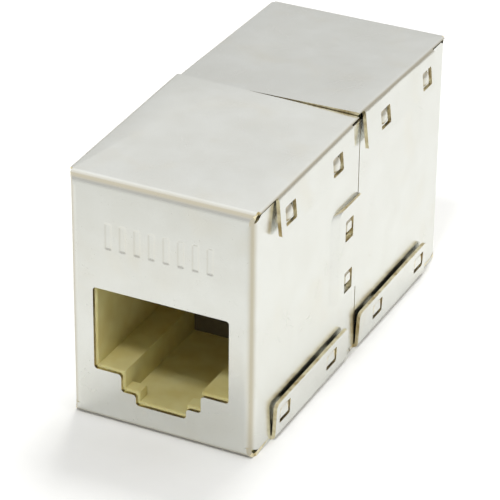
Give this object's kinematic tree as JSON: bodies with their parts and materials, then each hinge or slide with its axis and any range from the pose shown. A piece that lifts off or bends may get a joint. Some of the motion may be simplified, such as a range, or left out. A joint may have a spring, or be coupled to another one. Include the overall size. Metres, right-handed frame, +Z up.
{
  "type": "rj45 inline coupler",
  "caption": "Shielded inline coupler that joins two network cables, with a plug jack at each end of a folded metal shell that snaps together at mid-length.",
  "frame": {"origin": "centre of the coupler's footprint, on its flat bottom", "axes": "+X across the jacks, to the side where the front half's pocket is; +Y along the coupler, from the front jack to the rear jack; +Z up, away from the latch side of the jacks"},
  "size_m": [0.0174, 0.0372, 0.0222],
  "materials": {
    "shield": "satin plated brass sheet",
    "moulding": "moulded ivory plastic",
    "contact": "gold plated",
    "board": "solder mask on glass epoxy"
  },
  "bodies": {
    "root": {"front_shield": "shield", "front_jack_housing": "moulding", "front_contact_carrier": "moulding", "front_contact_1": "contact", "front_contact_2": "contact", "front_contact_3": "contact", "front_contact_4": "contact", "front_contact_5": "contact", "front_contact_6": "contact", "front_contact_7": "contact", "front_contact_8": "contact", "rear_shield": "shield", "rear_jack_housing": "moulding", "rear_contact_carrier": "moulding", "rear_contact_1": "contact", "rear_contact_2": "contact", "rear_contact_3": "contact", "rear_contact_4": "contact", "rear_contact_5": "contact", "rear_contact_6": "contact", "rear_contact_7": "contact", "rear_contact_8": "contact", "circuit_board": "board"}
  },
  "joints": []
}
